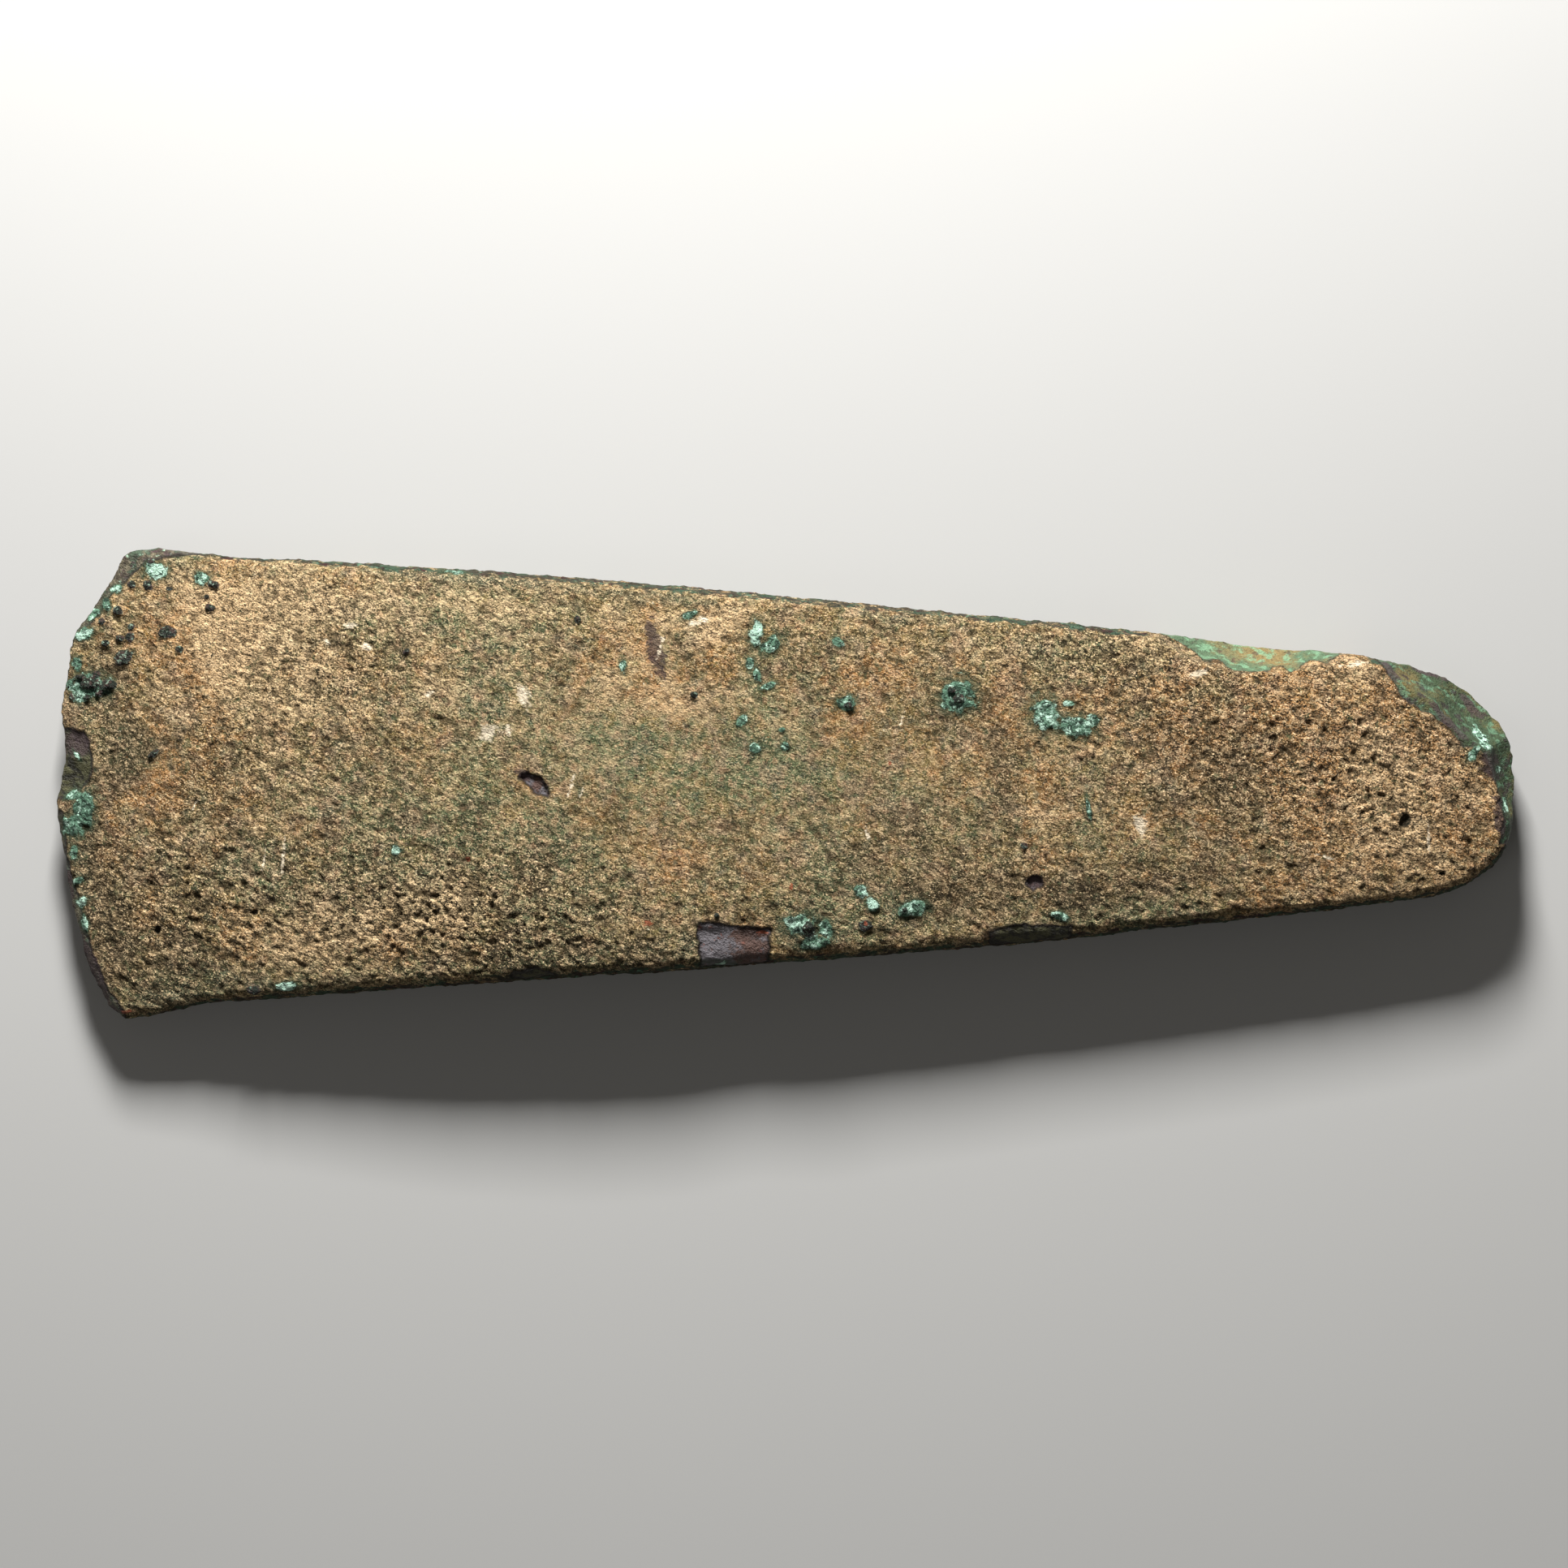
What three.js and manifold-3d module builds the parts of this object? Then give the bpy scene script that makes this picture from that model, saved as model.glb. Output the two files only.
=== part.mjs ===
// A flat axe head of cast copper, long buried, lying on its flatter face.
// Millimetres, +Z up. The cutting edge looks towards -X and the butt towards +X, and the
// origin is in the middle of the head's footprint, on the surface that it lies on.
// The head is first built about its own long axis, and set on that origin at the end.
import * as THREE from "three";
import { mergeVertices } from "three/addons/utils/BufferGeometryUtils.js";
import Module from "manifold-3d";

// Driving dimensions of the sound casting, before wear and breaks.
const headLength = 160;
const edgeSpan = 50; // across the cutting edge, corner to corner
const edgeBow = 7.4; // how far the middle of the cutting edge stands out past its corners
const buttWidth = 26.8;
const buttRound = 14; // length over which the butt rounds off
const buttSquareness = 2.7; // 2 is an ellipse, more is squarer
const sideBow = 1.1; // how far each long side swells past a straight taper
const thickness = 11;
const buttFall = 2.2; // how much thinner the butt is than the middle
const edgeThickness = 1.7; // the blunted, corroded cutting edge
const edgeHeight = 4.3; // the cutting edge's middle above the underside
const upperBevel = 62; // length over which the upper face falls to the cutting edge
const lowerBevel = 46; // length over which the underside rises to it
const buttRise = 0.9; // how far the underside lifts at the butt
const buttRiseLength = 22;
const sideRounding = 1.4; // plan width of the rounded long sides
const sideSquareness = 2.4;
const camber = 0.9; // fall of the upper face beside its rim
const camberReach = 9;
const crustThickness = 0.5; // the hard earth and corrosion over the metal

// Divisions of the surface. Both spacings close up towards the rim, where the shape turns.
const columns = 50; // from the cutting edge back to where the butt starts to round
const spokes = 14; // round each half of the butt
const rows = 16; // from the long axis out to the rim
const rimCrowding = 0.72; // 0 spaces the columns evenly, 1 crowds them at the cutting edge
const rowCrowding = 0.35; // the same for the rows at the cutting edge, reaching 1 within
const settledColumn = 5; // this many columns, to give the long sides their rounding

const tipX = -headLength / 2;
const cornerX = tipX + edgeBow;
const buttX = headLength / 2 - buttRound;
const edgeHalf = edgeSpan / 2;
const edgeRadius = (edgeHalf ** 2 + edgeBow ** 2) / (2 * edgeBow);
const flatFromX = tipX + upperBevel; // the upper face is one plane from here to the butt

const lerp = THREE.MathUtils.lerp;
const clamp = THREE.MathUtils.clamp;

// Half the head's width at x, up to where the butt starts to round.
function halfWidth(x) {
  const share = clamp((x - cornerX) / (buttX - cornerX), 0, 1);
  return lerp(edgeHalf, buttWidth / 2, share) + sideBow * 4 * share * (1 - share);
}

// How far the cutting edge has curved back at y, a circular arc.
function edgeSetback(y) {
  return edgeRadius - Math.sqrt(edgeRadius ** 2 - Math.min(Math.abs(y), edgeHalf) ** 2);
}

// A point given by its share of the length from the cutting edge, and its share of the half
// width, from -1 on the lower side to 1 on the upper side.
function spot(along, across) {
  const x = tipX + along * headLength;
  return new THREE.Vector2(x, across * halfWidth(x));
}

// The point of the cutting edge at a share of its half span, from -1 to 1.
function onEdge(across) {
  const y = across * edgeHalf;
  return new THREE.Vector2(tipX + edgeSetback(y), y);
}

// Wear of the outline. Each place pushes the rim inward by depth, or outward where depth is
// negative, fading out over reach. Depths and reaches are in millimetres.
const wear = [
  // the cutting edge, from its upper corner down: blunted, chipped, and dented beside the chip
  { from: "corner", at: onEdge(0.9), reach: 6, depth: 0.6 },
  { from: "edge", at: onEdge(0.62), reach: 4, depth: -0.8 },
  { from: "edge", at: onEdge(0.1), reach: 5.5, depth: 1.1 },
  { from: "edge", at: onEdge(-0.32), reach: 4.5, depth: 0.35 },
  { from: "edge", at: onEdge(-0.8), reach: 9, depth: -0.7 },
  // the long sides: the blade's corners are spread by hammering, and the taper wavers
  { from: "lower", at: spot(0.045, -1), reach: 10, depth: -1.3 },
  { from: "lower", at: spot(0.31, -1), reach: 50, depth: 0.4 },
  { from: "lower", at: spot(0.67, -1), reach: 14, depth: -0.2 },
  { from: "upper", at: spot(0.07, 1), reach: 9, depth: -0.55 },
  { from: "upper", at: spot(0.28, 1), reach: 55, depth: -0.35 },
  { from: "upper", at: spot(0.825, 1), reach: 9, depth: 0.3 },
  // the butt: one corner is broken off, and the other is rubbed
  { from: "butt", at: spot(0.965, 0.83), reach: 12, depth: 1.5 },
  { from: "butt", at: spot(0.955, -0.9), reach: 9, depth: 0.5 },
];

const inward = {
  corner: () => new THREE.Vector2(1, -1).normalize(),
  edge: () => new THREE.Vector2(1, 0),
  upper: () => new THREE.Vector2(0, -1),
  lower: () => new THREE.Vector2(0, 1),
  butt: (at) => new THREE.Vector2(buttX - at.x, -at.y).normalize(),
};

function worn(point) {
  const moved = point.clone();
  for (const { from, at, reach, depth } of wear) {
    const fade = Math.max(0, 1 - (point.distanceTo(at) / reach) ** 2) ** 2;
    moved.addScaledVector(inward[from](at), depth * fade);
  }
  return moved;
}

// Heights of the two faces at a point of the plan, away from the rounded rim.
function faceHeights(x, y) {
  const fromEdge = x - tipX - edgeSetback(y);
  const edgeShare = Math.max(0, 1 - fromEdge / upperBevel);
  const underShare = Math.max(0, 1 - fromEdge / lowerBevel);
  const buttShare = Math.max(0, (x - flatFromX) / (headLength / 2 - flatFromX));
  const riseShare = Math.max(0, 1 - (headLength / 2 - x) / buttRiseLength);
  return {
    top:
      thickness -
      (thickness - edgeHeight - edgeThickness / 2) * edgeShare ** 2 -
      buttFall * buttShare,
    under:
      (edgeHeight - edgeThickness / 2) * underShare ** 2 + buttRise * riseShare ** 2,
  };
}

// A point of the upper face (face 1) or underside (face -1), inset from the rim by inset.
function surfacePoint(x, y, inset, face) {
  const { top, under } = faceHeights(x, y);
  const middle = (top + under) / 2;
  const shoulder = (1 - (1 - Math.min(1, inset / sideRounding)) ** sideSquareness) **
    (1 / sideSquareness);
  const thinness = (top - under) / thickness;
  const fall = camber * thinness * Math.max(0, 1 - inset / camberReach) ** 2;
  const height = face > 0 ? top - fall - middle : middle - under;
  const plan = worn(new THREE.Vector2(x, y));
  return new THREE.Vector3(plan.x, plan.y, middle + face * height * shoulder);
}

// The surface at a column and a row of one half, side -1 or 1. The columns cross the blade,
// starting on the cutting edge, and then turn as spokes round the start of the butt.
function gridPoint(column, row, side, face) {
  const crowded = Math.sin(((row / rows) * Math.PI) / 2);
  const settled = lerp(rowCrowding, 1, Math.min(1, column / settledColumn));
  const outward = lerp(row / rows, crowded, settled);
  if (column <= columns) {
    const even = column / columns;
    const share = lerp(even, 1 - Math.cos((even * Math.PI) / 2), rimCrowding);
    const rimX = lerp(cornerX, buttX, share);
    const y = outward * halfWidth(rimX);
    const setback = (edgeSetback(outward * edgeHalf) / edgeBow) * (1 - share) * edgeBow;
    const x = lerp(tipX, buttX, share) + setback;
    const fromEdge = Math.max(0, x - tipX - edgeSetback(y));
    const inset = Math.min((1 - outward) * halfWidth(rimX), fromEdge);
    return surfacePoint(x, side * y, inset, face);
  }
  const turn = ((1 - (column - columns) / spokes) * Math.PI) / 2;
  const power = 2 / buttSquareness;
  const reachX = buttRound * Math.cos(turn) ** power;
  const reachY = (buttWidth / 2) * Math.sin(turn) ** power;
  const inset = (1 - outward) * Math.hypot(reachX, reachY);
  return surfacePoint(buttX + outward * reachX, side * outward * reachY, inset, face);
}

// The sound casting as one closed surface.
function castingGeometry() {
  const points = [];
  for (const side of [-1, 1])
    for (const face of [-1, 1])
      for (let column = 0; column < columns + spokes; column++)
        for (let row = 0; row < rows; row++) {
          const [a, b, c, d] = [
            gridPoint(column, row, side, face),
            gridPoint(column + 1, row, side, face),
            gridPoint(column + 1, row + 1, side, face),
            gridPoint(column, row + 1, side, face),
          ];
          points.push(...(side * face > 0 ? [a, b, c, a, c, d] : [a, c, b, a, d, c]));
        }
  return new THREE.BufferGeometry().setFromPoints(points);
}

const wasm = await Module();
wasm.setup();

// A closed geometry as a solid that can be cut and joined.
function solidOf(geometry) {
  const loose = geometry.index ? geometry.toNonIndexed() : geometry;
  const bare = new THREE.BufferGeometry();
  bare.setAttribute("position", loose.getAttribute("position"));
  const merged = mergeVertices(bare, 1e-3);
  const corners = merged.index.array;
  const triVerts = [];
  for (let i = 0; i < corners.length; i += 3) {
    const [a, b, c] = corners.subarray(i, i + 3);
    if (a !== b && b !== c && c !== a) triVerts.push(a, b, c);
  }
  return new wasm.Manifold(
    new wasm.Mesh({
      numProp: 3,
      vertProperties: merged.getAttribute("position").array,
      triVerts: new Uint32Array(triVerts),
    }),
  );
}

function geometryOf(solid) {
  const { vertProperties, triVerts } = solid.getMesh();
  const geometry = new THREE.BufferGeometry();
  geometry.setAttribute("position", new THREE.BufferAttribute(vertProperties, 3));
  geometry.setIndex(new THREE.BufferAttribute(triVerts, 1));
  geometry.computeVertexNormals();
  return geometry;
}

// Flakes struck off the rim of the upper face. Each is a shallow hollow that starts on the
// face at from and leaves through the rim at to, drop lower down, with the curve of a ball
// of the given radius. Stretch lengthens the hollow along the rim.
const flakes = [
  // the broken corner of the butt, in three blows
  { from: [0.922, 0.77], to: [0.936, 0.985], drop: 5.2, radius: 9, stretch: 1.35 },
  { from: [0.958, 0.4], to: [0.978, 0.69], drop: 6, radius: 10, stretch: 1.15 },
  { from: [0.982, 0.06], to: [0.997, 0.09], drop: 3.6, radius: 5, stretch: 1.9 },
  // the long flake on the upper side
  { from: [0.828, 0.77], to: [0.828, 0.985], drop: 5, radius: 9, stretch: 1.7 },
  // the cutting edge: its chipped middle and its rubbed upper corner
  { from: [0.026, 0.19], to: [0.007, 0.18], drop: 1.1, radius: 6, stretch: 1.1 },
  { from: [0.027, 0.03], to: [0.006, 0.01], drop: 1.4, radius: 5, stretch: 1.1 },
  { from: [0.053, 0.8], to: [0.033, 0.885], drop: 1.7, radius: 9, stretch: 1.9 },
  // small losses along the lower side
  { from: [0.667, -0.93], to: [0.667, -1.03], drop: 3, radius: 6.5, stretch: 1.7 },
  { from: [0.327, -0.965], to: [0.327, -1.04], drop: 3, radius: 3, stretch: 1.2 },
];

function flakeSolid({ from, to, drop, radius, stretch }) {
  const start = spot(...from);
  const end = spot(...to);
  const way = end.clone().sub(start);
  const top = faceHeights(start.x, start.y).top;
  const run = way.length();
  const chord = Math.hypot(run, drop);
  const rise = Math.sqrt(radius ** 2 - (chord / 2) ** 2);
  const outTo = run / 2 + (rise * drop) / chord;
  const centre = start.clone().addScaledVector(way.normalize(), outTo);
  const ball = new THREE.SphereGeometry(radius, 40, 28);
  ball.scale(1, stretch, 1);
  ball.rotateZ(way.angle());
  ball.translate(centre.x, centre.y, top - drop / 2 + (rise * run) / chord);
  return solidOf(ball);
}

// The patch on the lower side where the crust has come away from the metal in one plate.
const patchAlong = 0.4665;
const patchInner = -0.775;
const patchLength = 7.6;
const patchNarrowing = 1.1; // how much shorter its side at the rim is than its inner one
const patchSkew = 0.6; // how much nearer the rim its inner side ends towards the butt

function patchSolid() {
  const inner = spot(patchAlong, patchInner);
  const rim = spot(patchAlong, -1);
  const width = inner.y - rim.y + sideRounding;
  const outline = new THREE.Shape([
    new THREE.Vector2(-patchLength / 2, 0),
    new THREE.Vector2(-patchLength / 2, -width),
    new THREE.Vector2(patchLength / 2 - patchNarrowing, -width),
    new THREE.Vector2(patchLength / 2, -patchSkew),
  ]);
  const block = new THREE.ExtrudeGeometry(outline, { depth: thickness, bevelEnabled: false });
  block.rotateX(Math.atan2(camber / 2, camberReach));
  block.translate(inner.x, inner.y, faceHeights(inner.x, inner.y).top - crustThickness);
  return solidOf(block);
}

function axeHead() {
  let solid = solidOf(castingGeometry());
  for (const flake of flakes) solid = solid.subtract(flakeSolid(flake));
  solid = solid.subtract(patchSolid());
  const geometry = geometryOf(solid);
  geometry.computeBoundingBox();
  const { min, max } = geometry.boundingBox;
  geometry.translate(-(min.x + max.x) / 2, -(min.y + max.y) / 2, -min.z);
  const crustedCopper = new THREE.MeshStandardMaterial({
    color: 0x8c7350,
    roughness: 0.9,
    metalness: 0.1,
  });
  const mesh = new THREE.Mesh(geometry, crustedCopper);
  mesh.name = "axe_head";
  return mesh;
}

const flatAxe = new THREE.Group();
flatAxe.add(axeHead());
export default flatAxe;
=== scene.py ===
"""A flat axe head of cast copper under a crust of earth and corrosion, lying on a pale table.

The solid model is the frame. This script makes the head's fine surface on that solid, its
finish, and the studio. The surface is worked out in millimetres and turned into metres when
the mesh is finished.
"""
import itertools
import math

import bpy
import numpy as np
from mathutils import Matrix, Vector
from mathutils.kdtree import KDTree


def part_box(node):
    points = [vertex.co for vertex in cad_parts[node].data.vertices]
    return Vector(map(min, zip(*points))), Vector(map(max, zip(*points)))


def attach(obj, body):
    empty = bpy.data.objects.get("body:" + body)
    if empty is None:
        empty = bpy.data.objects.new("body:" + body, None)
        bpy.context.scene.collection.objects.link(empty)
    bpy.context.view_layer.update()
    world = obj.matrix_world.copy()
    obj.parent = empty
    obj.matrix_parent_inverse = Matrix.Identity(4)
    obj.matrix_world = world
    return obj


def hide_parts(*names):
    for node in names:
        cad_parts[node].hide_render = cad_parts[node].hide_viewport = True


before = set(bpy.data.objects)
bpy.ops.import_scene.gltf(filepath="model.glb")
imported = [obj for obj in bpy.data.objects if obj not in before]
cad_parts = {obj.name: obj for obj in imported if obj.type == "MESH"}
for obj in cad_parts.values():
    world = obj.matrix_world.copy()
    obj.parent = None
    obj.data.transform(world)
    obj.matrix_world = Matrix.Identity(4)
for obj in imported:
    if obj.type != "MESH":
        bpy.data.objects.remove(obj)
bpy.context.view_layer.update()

# The studio: a square picture from straight above, with the head's length across nearly all
# of it. One soft key lamp stands low beyond the upper side, so that every grain and pit of
# the crust throws a small shadow towards the lower side. The table is pale and matt.
low, high = (Vector(corner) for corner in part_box("axe_head"))
head_length = high.x - low.x
head_middle = (low + high) / 2
length_in_picture = 0.932  # share of the picture's width that the head takes
lens_mm = 100
sensor_mm = 36

camera = bpy.data.cameras.new("overhead")
camera.lens = lens_mm
camera.sensor_width = sensor_mm
overhead = bpy.data.objects.new("overhead", camera)
camera_rise = head_length / length_in_picture * lens_mm / sensor_mm
overhead.location = (head_middle.x, head_middle.y, head_middle.z + camera_rise)
bpy.context.collection.objects.link(overhead)
bpy.context.scene.camera = overhead


def lamp(name, bearing, height, distance, size, watts):
    """A square soft lamp aimed at the head, placed by two angles in degrees: its bearing,
    turned from the butt towards the upper side, and its height."""
    light = bpy.data.lights.new(name, "AREA")
    light.size = size
    light.energy = watts
    stand = bpy.data.objects.new(name, light)
    level = math.cos(math.radians(height))
    way = Vector((
        level * math.cos(math.radians(bearing)),
        level * math.sin(math.radians(bearing)),
        math.sin(math.radians(height)),
    ))
    stand.location = head_middle + way * distance
    stand.rotation_euler = (-way).to_track_quat("-Z", "Y").to_euler()
    bpy.context.collection.objects.link(stand)


lamp("key", bearing=95, height=29, distance=0.42, size=0.1, watts=5.05)
lamp("fill", bearing=215, height=55, distance=1.1, size=0.6, watts=0.8)

table_reach = 2.0
table_mesh = bpy.data.meshes.new("table")
table_mesh.from_pydata(
    [
        (-table_reach, -table_reach, low.z),
        (table_reach, -table_reach, low.z),
        (table_reach, table_reach, low.z),
        (-table_reach, table_reach, low.z),
    ],
    [],
    [(0, 1, 2, 3)],
)
table = bpy.data.objects.new("table", table_mesh)
bpy.context.collection.objects.link(table)
card = bpy.data.materials.new("pale_card")
card.use_nodes = True
card_shader = card.node_tree.nodes["Principled BSDF"]
card_shader.inputs["Base Color"].default_value = (0.43, 0.425, 0.41, 1)
card_shader.inputs["Roughness"].default_value = 0.9
table_mesh.materials.append(card)

room = bpy.data.worlds.new("room")
room.use_nodes = True
room_glow = room.node_tree.nodes["Background"]
room_glow.inputs["Color"].default_value = (1, 0.97, 0.92, 1)
room_glow.inputs["Strength"].default_value = 0.09
bpy.context.scene.world = room
bpy.context.scene.view_settings.view_transform = "Standard"


# The cast head: one solid piece of copper, hammered out at the cutting edge. Its form is the
# solid's own, divided finely, and eased so that the solid's facets don't show.
MM = 0.001
grid_mm = 0.235
easing_turns = 7
easing_share = 0.5
most_triangles = 196000


def shaped(mesh, name, modifiers):
    """A new mesh: the given one with modifiers, each a kind and its settings, applied."""
    holder = bpy.data.objects.new(name, mesh)
    bpy.context.collection.objects.link(holder)
    for kind, settings in modifiers:
        modifier = holder.modifiers.new(kind.lower(), kind)
        for setting, value in settings.items():
            setattr(modifier, setting, value)
    graph = bpy.context.evaluated_depsgraph_get()
    result = bpy.data.meshes.new_from_object(holder.evaluated_get(graph))
    bpy.data.objects.remove(holder)
    return result


def triples(items, what):
    """An array of one three-number property of a mesh's vertices."""
    flat = np.empty(len(items) * 3, dtype=np.float32)
    items.foreach_get(what, flat)
    return flat.reshape(-1, 3).astype(float)


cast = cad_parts["axe_head"].data.copy()
cast.vertices.foreach_set("co", (triples(cast.vertices, "co") / MM).ravel())
cast.update()
form = shaped(
    cast,
    "form",
    [
        ("REMESH", {"mode": "VOXEL", "voxel_size": grid_mm}),
        ("SMOOTH", {"factor": easing_share, "iterations": easing_turns}),
    ],
)
spot = triples(form.vertices, "co")
outward = triples(form.vertex_normals, "vector")
x, y, z = spot.T
facing_up = outward[:, 2]


# The crust: soil cemented by copper salts, about half a millimetre thick and as rough as
# sandstone. It has packed grains, low ripples that run down to the right, and narrow
# crevices, open and coarse at the lower left and finest round the middle.
def scatter(cells, seed):
    """Three numbers from 0 to 1 for each lattice cell, always the same for the same cell."""
    axis_primes = np.array([73856093, 19349663, 83492791], dtype=np.int64)
    seed_step = 2654435
    first_spread, second_spread = 2246822519, 3266489917
    codes_in_all = 2 ** 32
    code = (cells * axis_primes).sum(axis=1) + seed * seed_step
    draws = []
    for _ in range(3):
        code = (code ^ (code >> 15)) * first_spread % codes_in_all
        code = (code ^ (code >> 13)) * second_spread % codes_in_all
        code = code ^ (code >> 16)
        draws.append(code / codes_in_all)
    return np.stack(draws, axis=1)


def rolling(points, size, seed):
    """Smooth noise, about -1 to 1, with hollows and rises of the given size."""
    full_swing = 1.5
    scaled = points / size
    cell = np.floor(scaled).astype(np.int64)
    part = scaled - cell
    ease = part * part * part * (part * (part * 6 - 15) + 10)
    total = np.zeros(len(points))
    for corner in itertools.product((0, 1), repeat=3):
        slope = scatter(cell + corner, seed) * 2 - 1
        share = np.prod(np.where(corner, ease, 1 - ease), axis=1)
        total += share * (slope * (part - corner)).sum(axis=1)
    return total * full_swing


def packed(points, size, seed):
    """Packed grains: 0 at a grain's border and 1 on its top, with grains of uneven height."""
    far_off = 9.0
    border_slope = 2.2
    lowest_top, spread_of_tops = 0.35, 0.65
    scaled = points / size
    cell = np.floor(scaled).astype(np.int64)
    nearest = np.full(len(points), far_off)
    second = np.full(len(points), far_off)
    tone = np.zeros(len(points))
    for step in itertools.product((-1, 0, 1), repeat=3):
        draw = scatter(cell + step, seed)
        gap = np.linalg.norm(cell + step + draw - scaled, axis=1)
        closer = gap < nearest
        second = np.where(closer, nearest, np.minimum(second, gap))
        tone = np.where(closer, draw[:, 0], tone)
        nearest = np.where(closer, gap, nearest)
    flank = np.clip((second - nearest) * border_slope, 0, 1)
    return flank * (lowest_top + spread_of_tops * tone)


def ramp(value, start, end):
    """0 at start and 1 at end, with an eased slope between them."""
    share = np.clip((value - start) / (end - start), 0, 1)
    return share * share * (3 - 2 * share)


def stretch_from(place):
    """How far each point of the plan lies from a place's middle, 1 at its rim. A place is
    its middle, its two half lengths and its turn in degrees."""
    at_x, at_y, along, across, turn = place[:5]
    cosine, sine = math.cos(math.radians(turn)), math.sin(math.radians(turn))
    lengthwise = ((x - at_x) * cosine + (y - at_y) * sine) / along
    crosswise = ((y - at_y) * cosine - (x - at_x) * sine) / across
    return np.hypot(lengthwise, crosswise)


def patches(places):
    """A soft field over the plan: each place adds its last number, fading outwards."""
    field = np.zeros(len(x))
    for place in places:
        field += place[5] * np.exp(-stretch_from(place) ** 2)
    return field


nowhere = -3.0  # the depth given to points that no place reaches


def depth_in(places):
    """How deep each point lies in the nearest place: 1 at its middle, 0 at its rim."""
    deepest = np.full(len(x), nowhere)
    for place in places:
        deepest = np.maximum(deepest, 1 - stretch_from(place))
    return deepest


on_top = facing_up > -0.1
under = ramp(facing_up, -0.3, -0.7)
side = 1 - ramp(np.abs(facing_up), 0.35, 0.8)

# How far down the long sides each point lies, in mm, from just below the top face.
column = np.round(x - x.min()).astype(int)
crest = np.zeros(column.max() + 1)
np.maximum.at(crest, column, z)
between_ends = ramp(x, -68, -62) * (1 - ramp(x, 60, 63))
down_side = np.clip(crest[column] - z - 0.8, 0, None) * between_ends

coarse_places = [
    (-36, -14, 17, 5.5, -3, 1.0),
    (-66, -13, 8, 8, 0, 0.5),
    (-49, 13, 8, 7, 0, 0.4),
    (-62, 4, 8, 5, 0, 0.3),
    (34, 14, 12, 4, -5, 0.4),
    (60, 2, 20, 10, -8, 0.7),
    (-14, 2, 19, 9, 0, -0.7),
    (-69, 2.7, 3, 3, 0, -0.8),
    (12, 2, 13, 7, 0, -0.4),
    (-13, 14, 2.0, 5, 20, -0.5),
    (44, -5, 8, 5, 0, -0.3),
]
coarse = np.where(on_top, np.clip(patches(coarse_places), -1, 1.2), 0.0)
coarseness = 1.0 + 0.55 * coarse

ripple_turn = math.radians(-25)
ripple_stretch = 0.58
drifted = spot + 0.3 * np.stack([rolling(spot, 1.5, seed) for seed in (1, 2, 3)], axis=1)
cosine, sine = math.cos(ripple_turn), math.sin(ripple_turn)
rippled = np.stack(
    [
        (drifted[:, 0] * cosine + drifted[:, 1] * sine) * ripple_stretch,
        drifted[:, 1] * cosine - drifted[:, 0] * sine,
        drifted[:, 2],
    ],
    axis=1,
)
grains = packed(rippled, 0.58, 11)
crevices = ramp(rolling(rippled, 0.6, 12), -0.14, -0.5)
gaps = ramp(rolling(drifted, 0.78, 13), -0.3, -0.55) * np.clip(0.15 + 0.9 * coarse, 0, 1.2)
grain_mm, crevice_mm, gap_mm = 0.14, 0.12, 0.26
middle_grain = 0.4
crumbs = (
    0.10 * rolling(rippled, 1.3, 14)
    + 0.11 * rolling(rippled, 0.7, 15)
    + grain_mm * (grains - middle_grain)
    - crevice_mm * crevices
    - gap_mm * gaps
)
soft_lump_places = [
    (-60, 14, 8, 6, 0, 1.0),
    (-64, 2, 8, 4, 0, 0.6),
    (-17, 12, 8, 5, 0, 0.7),
    (58, 9, 8, 4, -8, 0.6),
]
soft_lumps = np.where(on_top, patches(soft_lump_places), 0.0)
crust_relief = (
    0.10 * rolling(spot, 9, 16)
    + 0.09 * rolling(spot, 3.6, 17)
    + 0.16 * soft_lumps * rolling(spot, 2.0, 18)
    + coarseness * crumbs * (1 - 0.9 * under)
)


# Losses of crust: where it has broken away, dark smooth metal shows in it, a little lower.
# The butt's corner, the upper side and the cutting edge lost metal with it, and those flakes
# are in the solid. Each loss is an outline in the plan, how deep it lies and how it looks.
def within(outline):
    """How far inside the outline each point of the plan is, negative outside, in mm."""
    nearest = np.full(len(x), np.inf)
    inside = np.zeros(len(x), dtype=bool)
    for (from_x, from_y), (to_x, to_y) in zip(outline, outline[1:] + outline[:1]):
        run_x, run_y = to_x - from_x, to_y - from_y
        past_x, past_y = x - from_x, y - from_y
        share = (past_x * run_x + past_y * run_y) / (run_x * run_x + run_y * run_y)
        share = np.clip(share, 0, 1)
        nearest = np.minimum(nearest, np.hypot(past_x - share * run_x, past_y - share * run_y))
        if from_y != to_y:
            inside ^= ((from_y > y) != (to_y > y)) & (x < run_x * past_y / run_y + from_x)
    return np.where(inside, nearest, -nearest)


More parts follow.
